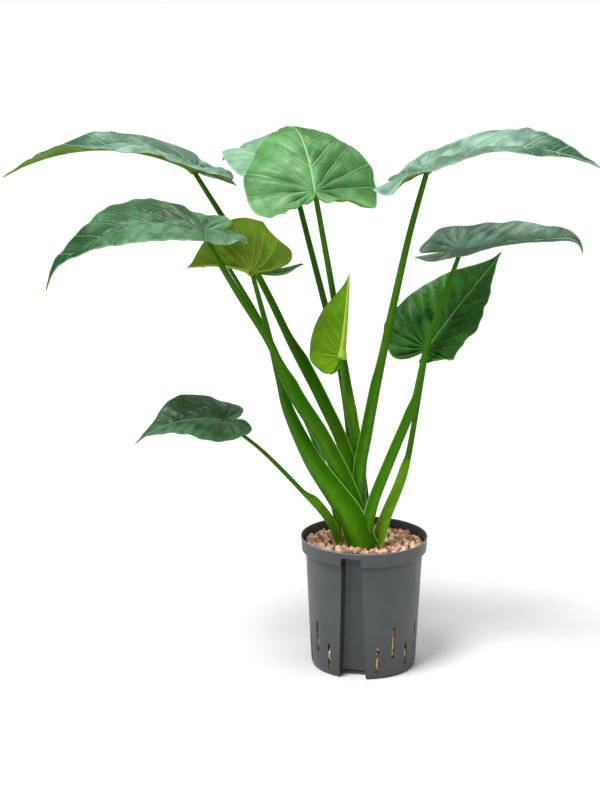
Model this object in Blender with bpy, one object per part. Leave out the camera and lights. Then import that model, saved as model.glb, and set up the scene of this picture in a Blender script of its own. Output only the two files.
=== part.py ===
"""Potted alocasia: a clump of eleven heart-shaped leaves in a hydroculture culture pot of clay granules.

Metres, +Z up. The origin is the centre of the pot's flat underside, and the front of the pot faces -Y.
"""

import math

import bmesh
import bpy
import numpy as np
from mathutils import Vector

# Pot
POT_HEIGHT = 0.190
RIM_RADIUS = 0.090
COLLAR_HEIGHT = 0.020
COLLAR_DRAFT = 0.0015
COLLAR_STEP = 0.0055
LIP_DRAFT = 0.0006
BODY_TAPER = 0.008
BODY_MIDDLE = 0.47
BASE_ROUND = 0.007
BASE_STEPS = 3
POT_WALL = 0.0016
POT_SEGMENTS = 60

# Groove in the pot's front that takes a water-level indicator
GROOVE_BEARING = -104.0
GROOVE_TOP_WIDTH = 0.028
GROOVE_BASE_WIDTH = 0.038
GROOVE_DEPTH = 0.024
GROOVE_BELOW_RIM = 0.008
GROOVE_POINTS = 9
GROOVE_SQUARE = 0.55

# Drain slots, low and high in turn, on both sides of the groove
SLOT_COUNT = 18
SLOT_WIDTH = 0.0042
SLOT_REACH = 0.008
LOW_SLOT = (0.010, 0.048)
HIGH_SLOT = (0.030, 0.074)

# Granules and rootstock
FILL_BELOW_RIM = 0.007
CLEARANCE = 0.0004
CORM_CENTRE = (-0.006, 0.000)
CORM_RADII = (0.054, 0.042)
CORM_DEPTH = 0.042
CORM_BELOW_FILL = 0.002
CORM_FOOT_TURN = 0.25
POCKET_HEADROOM = 0.010
CORM_RINGS = 5
CORM_SEGMENTS = 28

# Leaf blades and stalks
BLADE_THICKNESS = 0.0012
BLADE_SPOKES = 26
BLADE_RINGS = 5
STALK_SIDES = 10
STALK_RINGS = 17
SHEATH_CURL = 0.25
SHEATH_CLOSING = 0.07
CURVE_STEPS = 24
MIDRIB_STEPS = 160
TIP_CURL_FROM = 0.8
NUDGE = 0.0001

# Half outline of a blade, from its tip to the bottom of the notch between the lobes.
# The first number is a share of the blade's length ahead of the stalk, or of its lobes' length
# behind it. The second is a share of its half width.
HALF_OUTLINE = (
    (1.00, 0.00),
    (0.90, 0.085),
    (0.76, 0.30),
    (0.52, 0.70),
    (0.25, 0.97),
    (0.00, 1.00),
    (-0.45, 0.89),
    (-0.85, 0.62),
    (-1.00, 0.38),
    (-0.85, 0.17),
    (-0.45, 0.06),
    (-0.12, 0.00),
)

# Each leaf: where its blade meets the stalk, its tip, and its shape.
# arch is how far the midrib turns down from stalk to tip, lobe_droop how far it turns behind the stalk, and
# curl a last turn near the tip. roll turns the blade about its length and raises its left side.
# fold and cup are (left, right): how far each half rises beside the midrib, and how far it turns up again
# out to the margin.
# foot is where the stalk stands on the rootstock, and stalk its line from there up, with heights above the
# surface of the granules, as attach and tip have them. facing is the bearing that the stalk's back turns to.
# sheath is its width at the foot and at its top, its thickness, and the share of the stalk that it takes up.
# stem is the stalk's thickness above the sheath and at the blade.
LEAVES = {
    "leaf_1": {
        "attach": (-0.241, 0.100, 0.514),
        "tip": (-0.505, 0.065, 0.507),
        "width": 0.150,
        "lobes": 0.062,
        "arch": 58,
        "lobe_droop": -10,
        "curl": 0,
        "roll": 0,
        "fold": (22, 25),
        "cup": (-35, -30),
        "wave": 0.0030,
        "waves": 5,
        "foot": (-0.010, 0.001),
        "stalk": (
            (-0.028, 0.006, 0.118), (-0.061, 0.024, 0.194), (-0.097, 0.045, 0.262),
            (-0.155, 0.080, 0.374),
        ),
        "facing": 235,
        "sheath": (0.024, 0.024, 0.0055, 0.52),
        "stem": (0.0115, 0.0065),
        "young": False,
    },
    "leaf_2": {
        "attach": (-0.223, -0.070, 0.455),
        "tip": (-0.419, -0.150, 0.395),
        "width": 0.160,
        "lobes": 0.055,
        "arch": 68,
        "lobe_droop": -15,
        "curl": 35,
        "roll": -10,
        "fold": (15, 15),
        "cup": (-25, -20),
        "wave": 0.0030,
        "waves": 5,
        "foot": (-0.006, -0.017),
        "stalk": (
            (-0.024, -0.018, 0.071), (-0.062, -0.031, 0.155), (-0.101, -0.043, 0.223),
            (-0.133, -0.048, 0.296), (-0.177, -0.060, 0.370),
        ),
        "facing": 250,
        "sheath": (0.026, 0.029, 0.0055, 0.56),
        "stem": (0.0115, 0.0070),
        "young": False,
    },
    "leaf_3": {
        "attach": (-0.156, -0.020, 0.389),
        "tip": (-0.247, 0.020, 0.387),
        "width": 0.150,
        "lobes": 0.072,
        "arch": 30,
        "lobe_droop": -45,
        "curl": 0,
        "roll": 30,
        "fold": (45, 30),
        "cup": (12, 0),
        "wave": 0.0030,
        "waves": 5,
        "foot": (-0.017, -0.031),
        "stalk": (
            (-0.025, -0.034, 0.042), (-0.044, -0.037, 0.076), (-0.077, -0.033, 0.126),
            (-0.108, -0.016, 0.190), (-0.120, -0.017, 0.238), (-0.134, -0.022, 0.301),
        ),
        "facing": 255,
        "sheath": (0.032, 0.024, 0.0055, 0.6),
        "stem": (0.0105, 0.0060),
        "young": False,
    },
    "leaf_4": {
        "attach": (-0.224, 0.052, 0.440),
        "tip": (-0.340, 0.058, 0.416),
        "width": 0.064,
        "lobes": 0.028,
        "arch": 50,
        "lobe_droop": 10,
        "curl": 0,
        "roll": -5,
        "fold": (15, 15),
        "cup": (-20, -20),
        "wave": 0.0030,
        "waves": 5,
        "foot": (-0.033, 0.010),
        "stalk": ((-0.062, 0.014, 0.114), (-0.109, 0.032, 0.227), (-0.144, 0.045, 0.302)),
        "facing": 170,
        "sheath": (0.014, 0.014, 0.0045, 0.45),
        "stem": (0.0070, 0.0050),
        "young": False,
    },
    "leaf_5": {
        "attach": (-0.104, 0.100, 0.513),
        "tip": (-0.205, 0.215, 0.514),
        "width": 0.150,
        "lobes": 0.055,
        "arch": 65,
        "lobe_droop": 10,
        "curl": 0,
        "roll": -15,
        "fold": (20, 20),
        "cup": (-25, -35),
        "wave": 0.0030,
        "waves": 5,
        "foot": (-0.008, 0.031),
        "stalk": ((-0.022, 0.041, 0.157), (-0.040, 0.050, 0.272), (-0.058, 0.062, 0.336)),
        "facing": 115,
        "sheath": (0.018, 0.015, 0.0050, 0.4),
        "stem": (0.0105, 0.0070),
        "young": False,
    },
    "leaf_6": {
        "attach": (-0.071, -0.020, 0.499),
        "tip": (-0.080, 0.130, 0.539),
        "width": 0.184,
        "lobes": 0.045,
        "arch": 80,
        "lobe_droop": -85,
        "curl": 0,
        "roll": 0,
        "fold": (2, 2),
        "cup": (-34, -34),
        "wave": 0.0030,
        "waves": 5,
        "foot": (0.008, 0.020),
        "stalk": (
            (-0.011, 0.027, 0.139), (-0.025, 0.025, 0.227), (-0.034, 0.024, 0.277),
            (-0.046, 0.022, 0.355),
        ),
        "facing": 80,
        "sheath": (0.018, 0.015, 0.0050, 0.4),
        "stem": (0.0105, 0.0070),
        "young": False,
    },
    "leaf_7": {
        "attach": (0.078, -0.040, 0.530),
        "tip": (0.296, -0.135, 0.543),
        "width": 0.158,
        "lobes": 0.072,
        "arch": 55,
        "lobe_droop": -10,
        "curl": 0,
        "roll": 12,
        "fold": (20, 20),
        "cup": (-30, -30),
        "wave": 0.0030,
        "waves": 5,
        "foot": (0.005, -0.007),
        "stalk": (
            (-0.004, -0.006, 0.097), (0.003, -0.006, 0.151), (0.017, -0.012, 0.235),
            (0.027, -0.018, 0.293), (0.055, -0.032, 0.434),
        ),
        "facing": 290,
        "sheath": (0.022, 0.022, 0.0055, 0.48),
        "stem": (0.0120, 0.0070),
        "young": False,
    },
    "leaf_8": {
        "attach": (0.128, -0.010, 0.417),
        "tip": (0.292, -0.050, 0.435),
        "width": 0.125,
        "lobes": 0.058,
        "arch": 20,
        "lobe_droop": 0,
        "curl": 60,
        "roll": 4,
        "fold": (35, 22),
        "cup": (-25, -25),
        "wave": 0.0030,
        "waves": 5,
        "foot": (0.012, -0.026),
        "stalk": (
            (0.017, -0.025, 0.056), (0.037, -0.023, 0.123), (0.066, -0.018, 0.197),
            (0.074, -0.016, 0.236), (0.089, -0.014, 0.302),
        ),
        "facing": 300,
        "sheath": (0.020, 0.022, 0.0055, 0.52),
        "stem": (0.0095, 0.0060),
        "young": False,
    },
    "leaf_9": {
        "attach": (0.087, 0.030, 0.272),
        "tip": (0.191, 0.100, 0.392),
        "width": 0.120,
        "lobes": 0.042,
        "arch": 20,
        "lobe_droop": -60,
        "curl": -30,
        "roll": 42,
        "fold": (8, 50),
        "cup": (0, 0),
        "wave": 0.0030,
        "waves": 5,
        "foot": (0.028, -0.011),
        "stalk": (
            (0.035, -0.010, 0.035), (0.051, -0.003, 0.084), (0.061, 0.004, 0.120),
            (0.073, 0.014, 0.189), (0.080, 0.020, 0.231),
        ),
        "facing": 60,
        "sheath": (0.018, 0.018, 0.0050, 0.45),
        "stem": (0.0090, 0.0060),
        "young": False,
    },
    "leaf_10": {
        "attach": (-0.034, -0.026, 0.271),
        "tip": (-0.024, -0.010, 0.383),
        "width": 0.112,
        "lobes": 0.026,
        "arch": 10,
        "lobe_droop": 0,
        "curl": 0,
        "roll": 180,
        "fold": (148, 4),
        "cup": (0, 0),
        "wave": 0.0030,
        "waves": 5,
        "foot": (0.006, 0.009),
        "stalk": ((-0.009, 0.012, 0.107), (-0.017, -0.003, 0.146), (-0.029, -0.038, 0.212)),
        "facing": 80,
        "sheath": (0.012, 0.011, 0.0050, 0.45),
        "stem": (0.0080, 0.0050),
        "young": True,
    },
    "leaf_11": {
        "attach": (-0.200, -0.020, 0.181),
        "tip": (-0.319, -0.050, 0.155),
        "width": 0.115,
        "lobes": 0.038,
        "arch": 55,
        "lobe_droop": -20,
        "curl": 0,
        "roll": -18,
        "fold": (15, 15),
        "cup": (-25, -25),
        "wave": 0.0030,
        "waves": 5,
        "foot": (-0.042, -0.008),
        "stalk": ((-0.056, -0.012, 0.036), (-0.094, -0.014, 0.082), (-0.147, -0.018, 0.138)),
        "facing": 150,
        "sheath": (0.018, 0.016, 0.0045, 0.36),
        "stem": (0.0070, 0.0045),
        "young": False,
    },
}


def clear_scene():
    for item in list(bpy.data.objects):
        bpy.data.objects.remove(item, do_unlink=True)


def make_material(name, color, roughness, metallic=0.0):
    material = bpy.data.materials.new(name)
    material.use_nodes = True
    shader = material.node_tree.nodes["Principled BSDF"]
    shader.inputs["Base Color"].default_value = (*color, 1.0)
    shader.inputs["Roughness"].default_value = roughness
    shader.inputs["Metallic"].default_value = metallic
    return material


def add_mesh(name, points, faces, material, sharp_degrees=40.0):
    """A new object from points and faces, with doubles merged and its faces pointing out."""
    mesh = bpy.data.meshes.new(name)
    mesh.from_pydata([tuple(map(float, point)) for point in points], [], faces)
    shape = bmesh.new()
    shape.from_mesh(mesh)
    bmesh.ops.remove_doubles(shape, verts=shape.verts, dist=1e-6)
    bmesh.ops.dissolve_degenerate(shape, edges=shape.edges, dist=1e-7)
    bmesh.ops.recalc_face_normals(shape, faces=shape.faces)
    shape.to_mesh(mesh)
    shape.free()
    mesh.shade_smooth()
    mesh.set_sharp_from_angle(angle=math.radians(sharp_degrees))
    mesh.materials.append(material)
    item = bpy.data.objects.new(name, mesh)
    bpy.context.scene.collection.objects.link(item)
    return item


def loft(rings, cap_first=True, cap_last=True):
    """Points and faces of a skin over rings of equal length."""
    count = len(rings[0])
    points = [point for ring in rings for point in ring]
    faces = []
    for row in range(len(rings) - 1):
        for column in range(count):
            after = (column + 1) % count
            low = row * count
            high = low + count
            faces.append((low + column, low + after, high + after, high + column))
    if cap_first:
        faces.append(tuple(reversed(range(count))))
    if cap_last:
        last = (len(rings) - 1) * count
        faces.append(tuple(range(last, last + count)))
    return points, faces


def smooth_line(points, count):
    """Evenly spaced points along a Catmull-Rom curve through the given points."""
    control = np.array(points, dtype=float)
    control = np.vstack([2 * control[0] - control[1], control, 2 * control[-1] - control[-2]])
    dense = []
    steps = np.linspace(0.0, 1.0, CURVE_STEPS, endpoint=False)[:, None]
    for index in range(1, len(control) - 2):
        a, b, c, d = control[index - 1 : index + 3]
        dense.append(
            0.5
            * (
                2 * b
                + (c - a) * steps
                + (2 * a - 5 * b + 4 * c - d) * steps**2
                + (3 * b - a - 3 * c + d) * steps**3
            )
        )
    dense = np.vstack([*dense, control[-2][None, :]])
    travelled = np.concatenate([[0.0], np.cumsum(np.linalg.norm(np.diff(dense, axis=0), axis=1))])
    wanted = np.linspace(0.0, travelled[-1], count)
    return np.column_stack([np.interp(wanted, travelled, dense[:, axis]) for axis in range(dense.shape[1])])


def ease(value):
    share = np.clip(value, 0.0, 1.0)
    return share * share * (3.0 - 2.0 * share)


# Pot, granules and rootstock


def groove_half_width(height):
    share = min(height / (POT_HEIGHT - GROOVE_BELOW_RIM), 1.0)
    return (GROOVE_BASE_WIDTH + (GROOVE_TOP_WIDTH - GROOVE_BASE_WIDTH) * share) / 2


def pot_ring(radius, height, inset, with_groove):
    """One ring of the pot's wall. Without the groove, the groove's own points lie on the circle."""
    half_width = groove_half_width(height) + inset
    half = math.asin(half_width / radius)
    middle = math.radians(GROOVE_BEARING)
    bearings = np.linspace(middle + half, middle + 2 * math.pi - half, POT_SEGMENTS + 1)
    ring = [(radius * math.cos(bearing), radius * math.sin(bearing), height) for bearing in bearings]
    outward = (math.cos(middle), math.sin(middle))
    aside = (-math.sin(middle), math.cos(middle))
    front = radius * math.cos(half)
    bottom = body_radius(height) - GROOVE_DEPTH - inset
    for step in range(1, GROOVE_POINTS):
        turn = math.pi * step / GROOVE_POINTS
        side = -half_width * math.copysign(abs(math.cos(turn)) ** GROOVE_SQUARE, math.cos(turn))
        out = math.sqrt(radius * radius - side * side)
        if with_groove:
            out = front - (front - bottom) * math.sin(turn) ** GROOVE_SQUARE
        ring.append((outward[0] * out + aside[0] * side, outward[1] * out + aside[1] * side, height))
    return ring


def body_radius(height):
    top = RIM_RADIUS - COLLAR_DRAFT - COLLAR_STEP
    return top - BODY_TAPER * (1.0 - height / (POT_HEIGHT - COLLAR_HEIGHT))


def wall_rings(inset, low, high):
    """Rings up the body between two heights, moved in from the outer face by inset."""
    rings = []
    radius = BASE_ROUND - min(inset, BASE_ROUND / 2)
    for step in range(BASE_STEPS + 1):
        turn = math.pi / 2 * step / BASE_STEPS
        height = low + radius * (1 - math.cos(turn))
        rings.append((body_radius(height) - inset - radius * (1 - math.sin(turn)), height))
    for height in (high * BODY_MIDDLE, high):
        rings.append((body_radius(height) - inset, height))
    return rings


def build_pot(material):
    body_top = POT_HEIGHT - COLLAR_HEIGHT
    ledge = POT_HEIGHT - GROOVE_BELOW_RIM
    collar_foot = RIM_RADIUS - COLLAR_DRAFT
    rings = [pot_ring(r, z, 0.0, True) for r, z in wall_rings(0.0, 0.0, body_top)]
    rings.append(pot_ring(collar_foot, body_top, 0.0, True))
    rings.append(pot_ring(RIM_RADIUS - LIP_DRAFT, ledge, 0.0, True))
    rings.append(pot_ring(RIM_RADIUS - LIP_DRAFT, ledge, 0.0, False))
    rings.append(pot_ring(RIM_RADIUS, POT_HEIGHT, 0.0, False))
    inner = RIM_RADIUS - POT_WALL
    rings.append(pot_ring(inner, POT_HEIGHT, POT_WALL, False))
    rings.append(pot_ring(inner - LIP_DRAFT, ledge + POT_WALL, POT_WALL, False))
    rings.append(pot_ring(inner - LIP_DRAFT, ledge + POT_WALL, POT_WALL, True))
    rings.append(pot_ring(collar_foot - POT_WALL, body_top + POT_WALL, POT_WALL, True))
    rings.append(pot_ring(body_radius(body_top) - POT_WALL, body_top + POT_WALL, POT_WALL, True))
    inside = wall_rings(POT_WALL, POT_WALL, body_top - POT_WALL)
    rings.extend(pot_ring(r, z, POT_WALL, True) for r, z in reversed(inside))
    points, faces = loft(rings)
    pot = add_mesh("pot", points, faces, material)
    cutter = build_slot_cutter()
    cut = pot.modifiers.new("drain_slots", "BOOLEAN")
    cut.operation = "DIFFERENCE"
    cut.object = cutter
    cut.solver = "EXACT"
    return pot


def slot_bearings():
    """Bearings and height ranges of the drain slots, which leave the groove's own bearing free."""
    pitch = 360.0 / (SLOT_COUNT + 2)
    for index in range(SLOT_COUNT):
        side = -1 if index % 2 else 1
        step = index // 2
        yield GROOVE_BEARING + side * pitch * (step + 1.5), (HIGH_SLOT if step % 2 else LOW_SLOT)


def build_slot_cutter():
    points = []
    faces = []
    for bearing, (low, high) in slot_bearings():
        turn = math.radians(bearing)
        outward = Vector((math.cos(turn), math.sin(turn), 0.0))
        aside = Vector((-math.sin(turn), math.cos(turn), 0.0))
        first = len(points)
        for height in (low, high):
            for out in (body_radius(0.0) - SLOT_REACH, body_radius(height) + SLOT_REACH):
                for side in (-SLOT_WIDTH / 2, SLOT_WIDTH / 2):
                    points.append(outward * out + aside * side + Vector((0, 0, height)))
        box = ((0, 1, 3, 2), (4, 6, 7, 5), (0, 4, 5, 1), (2, 3, 7, 6), (0, 2, 6, 4), (1, 5, 7, 3))
        faces.extend(tuple(first + corner for corner in face) for face in box)
    cutter = add_mesh("slot_cutter", points, faces, make_material("cutter", (1, 0, 0), 0.5))
    cutter.hide_render = True
    cutter.display_type = "WIRE"
    return cutter


def fill_height():
    return POT_HEIGHT - FILL_BELOW_RIM


def corm_top():
    return fill_height() - CORM_BELOW_FILL


def corm_rings(grow):
    """Rings of the squat rootstock from its foot up. grow makes it larger, for the pocket that holds it."""
    rings = []
    for step in range(CORM_RINGS + 1):
        turn = math.pi / 2 * (CORM_FOOT_TURN + (1.0 - CORM_FOOT_TURN) * step / CORM_RINGS)
        height = corm_top() - CORM_DEPTH * math.cos(turn) - grow
        spread = math.sin(turn)
        ring = []
        for index in range(CORM_SEGMENTS):
            around = 2 * math.pi * index / CORM_SEGMENTS
            x = CORM_CENTRE[0] + (CORM_RADII[0] * spread + grow) * math.cos(around)
            y = CORM_CENTRE[1] + (CORM_RADII[1] * spread + grow) * math.sin(around)
            ring.append((x, y, height))
        rings.append(ring)
    return rings


def build_granules(material):
    inset = POT_WALL + CLEARANCE
    step = POT_HEIGHT - COLLAR_HEIGHT + inset
    sides = [pot_ring(r, z, inset, True) for r, z in wall_rings(inset, inset, step)]
    collar_foot = RIM_RADIUS - COLLAR_DRAFT - inset
    sides.append(pot_ring(collar_foot, step, inset, True))
    sides.append(pot_ring(collar_foot, fill_height(), inset, True))
    points, faces = loft(sides)
    bed = add_mesh("clay_granules", points, faces, material)
    rings = corm_rings(CLEARANCE)
    rings.append([(x, y, fill_height() + POCKET_HEADROOM) for x, y, _ in rings[-1]])
    points, faces = loft(rings)
    pocket = add_mesh("corm_pocket", points, faces, material)
    pocket.hide_render = True
    pocket.display_type = "WIRE"
    cut = bed.modifiers.new("corm_pocket", "BOOLEAN")
    cut.operation = "DIFFERENCE"
    cut.object = pocket
    cut.solver = "EXACT"
    return bed


def build_corm(material):
    points, faces = loft(corm_rings(0.0))
    return add_mesh("corm", points, faces, material)


# Leaves


def above_fill(point):
    """A place given as height above the granules' surface, in the pot's own frame."""
    return np.array([point[0], point[1], point[2] + fill_height()])


def half_outline(leaf, count):
    """Points from the tip round one half of the blade to its notch, as (forward, aside)."""
    share = smooth_line(HALF_OUTLINE, count)
    length = midrib_length(leaf)
    forward = np.where(share[:, 0] > 0, share[:, 0] * length, share[:, 0] * leaf["lobes"])
    return np.column_stack([forward, np.maximum(share[:, 1], 0.0) * leaf["width"] / 2])


def midrib_length(leaf):
    chord = np.linalg.norm(np.subtract(leaf["tip"], leaf["attach"]))
    half_turn = math.radians(leaf["arch"]) / 2
    return chord * half_turn / math.sin(half_turn) if half_turn else chord


def blade_axes(leaf):
    """The blade's chord, its left and its upward direction."""
    chord = np.subtract(leaf["tip"], leaf["attach"])
    ahead = chord / np.linalg.norm(chord)
    level = np.cross((0.0, 0.0, 1.0), ahead)
    level /= np.linalg.norm(level)
    upright = np.cross(ahead, level)
    roll = math.radians(leaf["roll"])
    left = level * math.cos(roll) + upright * math.sin(roll)
    up = upright * math.cos(roll) - level * math.sin(roll)
    return ahead, left, up


def midrib(leaf, forward):
    """Points of the midrib at distances ahead of the stalk, with the blade's left and up there."""
    ahead, left, up = blade_axes(leaf)
    length = midrib_length(leaf)
    table = np.linspace(-leaf["lobes"] - NUDGE, length + NUDGE, MIDRIB_STEPS + 1)
    half = math.radians(leaf["arch"]) / 2
    turn = half - 2 * half * table / length
    back = np.minimum(table, 0.0)
    turn += np.where(table < 0, (2 * half / length - math.radians(leaf["lobe_droop"]) / leaf["lobes"]) * back, 0.0)
    tip_share = np.clip((table / length - TIP_CURL_FROM) / (1.0 - TIP_CURL_FROM), 0.0, None)
    turn -= math.radians(leaf["curl"]) * tip_share
    step = table[1] - table[0]

    def integral(values):
        total = np.concatenate([[0.0], np.cumsum((values[1:] + values[:-1]) / 2 * step)])
        return total - np.interp(0.0, table, total)

    along = np.interp(forward, table, integral(np.cos(turn)))
    rise = np.interp(forward, table, integral(np.sin(turn)))
    angle = np.interp(forward, table, turn)[:, None]
    points = above_fill(leaf["attach"]) + along[:, None] * ahead + rise[:, None] * up
    upward = np.cos(angle) * up - np.sin(angle) * ahead
    return points, np.tile(left, (len(points), 1)), upward


def blade_point(leaf, forward, aside, share, around):
    """Surface points of a blade. share runs from 0 at the stalk to 1 at the margin, around goes round it."""
    centre, left, up = midrib(leaf, forward)
    half_width = leaf["width"] / 2
    is_left = aside >= 0
    fold = np.radians(np.where(is_left, leaf["fold"][0], leaf["fold"][1]))
    bend = np.radians(np.where(is_left, leaf["cup"][0], leaf["cup"][1])) / half_width
    bend = np.where(np.abs(bend) < 1e-6, 1e-6, bend)
    out = np.abs(aside)
    flat = (np.sin(fold + bend * out) - np.sin(fold)) / bend
    rise = (np.cos(fold) - np.cos(fold + bend * out)) / bend
    rise = rise + leaf["wave"] * share**3 * np.sin(leaf["waves"] * around)
    return centre + (np.sign(aside) * flat)[:, None] * left + rise[:, None] * up


def build_blade(name, leaf, material):
    half = half_outline(leaf, BLADE_SPOKES // 2 + 1)
    outline = np.vstack([half, (half[1:-1] * (1, -1))[::-1]])
    count = len(outline)
    shares = np.linspace(0.0, 1.0, BLADE_RINGS + 1)[1:]
    share = np.repeat(shares, count)
    flat = np.concatenate([outline * ring for ring in shares])
    around = np.tile(2 * math.pi * np.arange(count) / count, BLADE_RINGS)
    flat = np.vstack([[0.0, 0.0], flat])
    share = np.concatenate([[0.0], share])
    around = np.concatenate([[0.0], around])
    top = blade_point(leaf, flat[:, 0], flat[:, 1], share, around)
    ahead = blade_point(leaf, flat[:, 0] + NUDGE, flat[:, 1], share, around) - top
    beside = np.where(flat[:, 1] >= 0, NUDGE, -NUDGE)
    aside = (blade_point(leaf, flat[:, 0], flat[:, 1] + beside, share, around) - top) * np.sign(beside)[:, None]
    normal = np.cross(ahead, aside)
    normal /= np.linalg.norm(normal, axis=1)[:, None]
    on_midrib = np.abs(flat[:, 1]) < 1e-9
    normal[on_midrib] = midrib(leaf, flat[on_midrib, 0])[2]
    thickness = BLADE_THICKNESS * (1.0 - 0.5 * share[:, None])
    under = top - normal * thickness
    size = len(top)
    faces = []
    for column in range(count):
        after = (column + 1) % count
        faces.append((0, 1 + column, 1 + after))
        faces.append((size, size + 1 + after, size + 1 + column))
        for row in range(BLADE_RINGS - 1):
            low = 1 + row * count
            high = low + count
            faces.append((low + column, high + column, high + after, low + after))
            faces.append((size + low + column, size + low + after, size + high + after, size + high + column))
        rim = 1 + (BLADE_RINGS - 1) * count
        faces.append((rim + column, size + rim + column, size + rim + after, rim + after))
    return add_mesh(name, np.vstack([top, under]), faces, material)


def stalk_section(width, depth, curl):
    """Outline across a stalk: aside, and towards the middle of the clump."""
    turn = 2 * math.pi * np.arange(STALK_SIDES) / STALK_SIDES
    aside = width / 2 * np.cos(turn)
    inward = depth / 2 * np.sin(turn)
    return aside, inward + curl * width / 2 * (2 * aside / width) ** 2


def build_stalk(name, leaf, material):
    up = midrib(leaf, np.array([0.0]))[2][0]
    foot_width, top_width, foot_depth, open_to = leaf["sheath"]
    stem_foot, stem_head = leaf["stem"]
    travel = np.subtract(leaf["attach"], leaf["stalk"][-1])
    lean = math.sqrt(1.0 - (travel @ up / np.linalg.norm(travel)) ** 2)
    head = above_fill(leaf["attach"]) - up * (BLADE_THICKNESS + CLEARANCE + stem_head / 2 * lean)
    foot = (*leaf["foot"], corm_top() + CLEARANCE)
    stops = [above_fill(point) for point in leaf["stalk"]]
    line = smooth_line([foot, *stops, head], STALK_RINGS)
    facing = math.radians(leaf["facing"])
    back = np.array([math.cos(facing), math.sin(facing), 0.0])
    rings = []
    for index, centre in enumerate(line):
        share = index / (STALK_RINGS - 1)
        closed = ease((share - open_to + SHEATH_CLOSING) / (2 * SHEATH_CLOSING))
        stem = stem_foot + (stem_head - stem_foot) * max(0.0, (share - open_to) / (1 - open_to))
        sheath = foot_width + (top_width - foot_width) * min(share / open_to, 1.0)
        width = sheath + (stem - sheath) * closed
        depth = foot_depth + (stem - foot_depth) * ease(share / open_to)
        before = line[max(index - 1, 0)]
        after = line[min(index + 1, STALK_RINGS - 1)]
        tangent = (after - before) / np.linalg.norm(after - before)
        if index == 0:
            tangent = np.array([0.0, 0.0, 1.0])
        inward = (back @ tangent) * tangent - back
        inward /= np.linalg.norm(inward)
        aside = np.cross(inward, tangent)
        across, toward = stalk_section(width, depth, SHEATH_CURL * (1 - closed))
        rings.append([centre + aside * a + inward * b for a, b in zip(across, toward)])
    points, faces = loft(rings)
    return add_mesh(name, points, faces, material)


def build_leaves():
    upper = make_material("leaf_green", (0.10, 0.24, 0.12), 0.45)
    young = make_material("young_leaf_green", (0.22, 0.42, 0.06), 0.45)
    green = make_material("stalk_green", (0.08, 0.26, 0.03), 0.4)
    for name, leaf in LEAVES.items():
        build_blade(name + "_blade", leaf, young if leaf["young"] else upper)
        build_stalk(name + "_stalk", leaf, green)


def main():
    clear_scene()
    build_pot(make_material("grey_plastic", (0.075, 0.09, 0.10), 0.45))
    build_granules(make_material("clay", (0.45, 0.22, 0.14), 0.9))
    build_corm(make_material("rootstock", (0.20, 0.12, 0.06), 0.8))
    build_leaves()


main()
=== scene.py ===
import math
import random

import bpy
import numpy as np
from mathutils import Euler, Matrix, Vector


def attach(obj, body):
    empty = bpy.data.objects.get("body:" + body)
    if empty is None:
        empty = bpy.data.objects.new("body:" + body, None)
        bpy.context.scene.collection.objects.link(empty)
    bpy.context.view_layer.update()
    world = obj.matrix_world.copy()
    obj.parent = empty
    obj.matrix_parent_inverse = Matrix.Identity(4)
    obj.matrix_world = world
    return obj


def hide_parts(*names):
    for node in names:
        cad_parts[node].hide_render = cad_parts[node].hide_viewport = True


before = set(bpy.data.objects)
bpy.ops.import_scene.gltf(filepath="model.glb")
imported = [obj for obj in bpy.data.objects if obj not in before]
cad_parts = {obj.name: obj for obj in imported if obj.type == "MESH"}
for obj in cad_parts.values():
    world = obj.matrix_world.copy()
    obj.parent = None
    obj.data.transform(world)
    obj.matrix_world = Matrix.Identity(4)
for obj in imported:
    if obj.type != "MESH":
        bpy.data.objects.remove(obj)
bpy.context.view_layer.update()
print("frame loaded:", len(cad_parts), "nodes")


# Working helpers


def goTo(mode):
    bpy.ops.object.mode_set(mode=mode)


def pickOnly(*pieces):
    if bpy.context.object and bpy.context.object.mode == "EDIT":
        goTo("OBJECT")
    bpy.ops.object.select_all(action="DESELECT")
    for piece in pieces:
        piece.select_set(True)
    bpy.context.view_layer.objects.active = pieces[0]


def startPiece(name, addPrimitive, **choices):
    bpy.ops.object.select_all(action="DESELECT")
    addPrimitive(**choices)
    piece = bpy.context.object
    piece.name = name
    piece.data.name = name
    bpy.ops.object.transform_apply(location=True, rotation=True, scale=True)
    return piece


def applyModifier(piece, kind, **settings):
    pickOnly(piece)
    modifier = piece.modifiers.new(kind.lower(), kind)
    for name, value in settings.items():
        setattr(modifier, name, value)
    bpy.ops.object.modifier_apply(modifier=modifier.name)


def cleanMesh(piece, distance=2e-5, recalculate=True):
    pickOnly(piece)
    goTo("EDIT")
    bpy.ops.mesh.select_all(action="SELECT")
    bpy.ops.mesh.remove_doubles(threshold=distance)
    if recalculate:
        bpy.ops.mesh.normals_make_consistent(inside=False)
    goTo("OBJECT")


def smoothShade(piece, degrees):
    pickOnly(piece)
    bpy.ops.object.shade_smooth_by_angle(angle=math.radians(degrees))


def joinPieces(pieces, name):
    pickOnly(*pieces)
    bpy.ops.object.join()
    joined = bpy.context.object
    joined.name = name
    joined.data.name = name
    return joined


def keepPiece(piece, material=None, standsFor=()):
    if material:
        piece.data.materials.clear()
        piece.data.materials.append(material)
    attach(piece, "root")
    if standsFor:
        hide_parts(*standsFor)


def setPoints(piece, points):
    piece.data.vertices.foreach_set("co", np.asarray(points, np.float32).ravel())
    piece.data.update()


def getPoints(piece):
    points = np.zeros(len(piece.data.vertices) * 3, np.float32)
    piece.data.vertices.foreach_get("co", points)
    return points.reshape(-1, 3).astype(float)


def setAttribute(piece, name, values):
    isVector = np.ndim(values) == 2
    kind = "FLOAT_VECTOR" if isVector else "FLOAT"
    layer = piece.data.attributes.new(name, kind, "POINT")
    layer.data.foreach_set("vector" if isVector else "value", np.asarray(values, np.float32).ravel())


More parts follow.
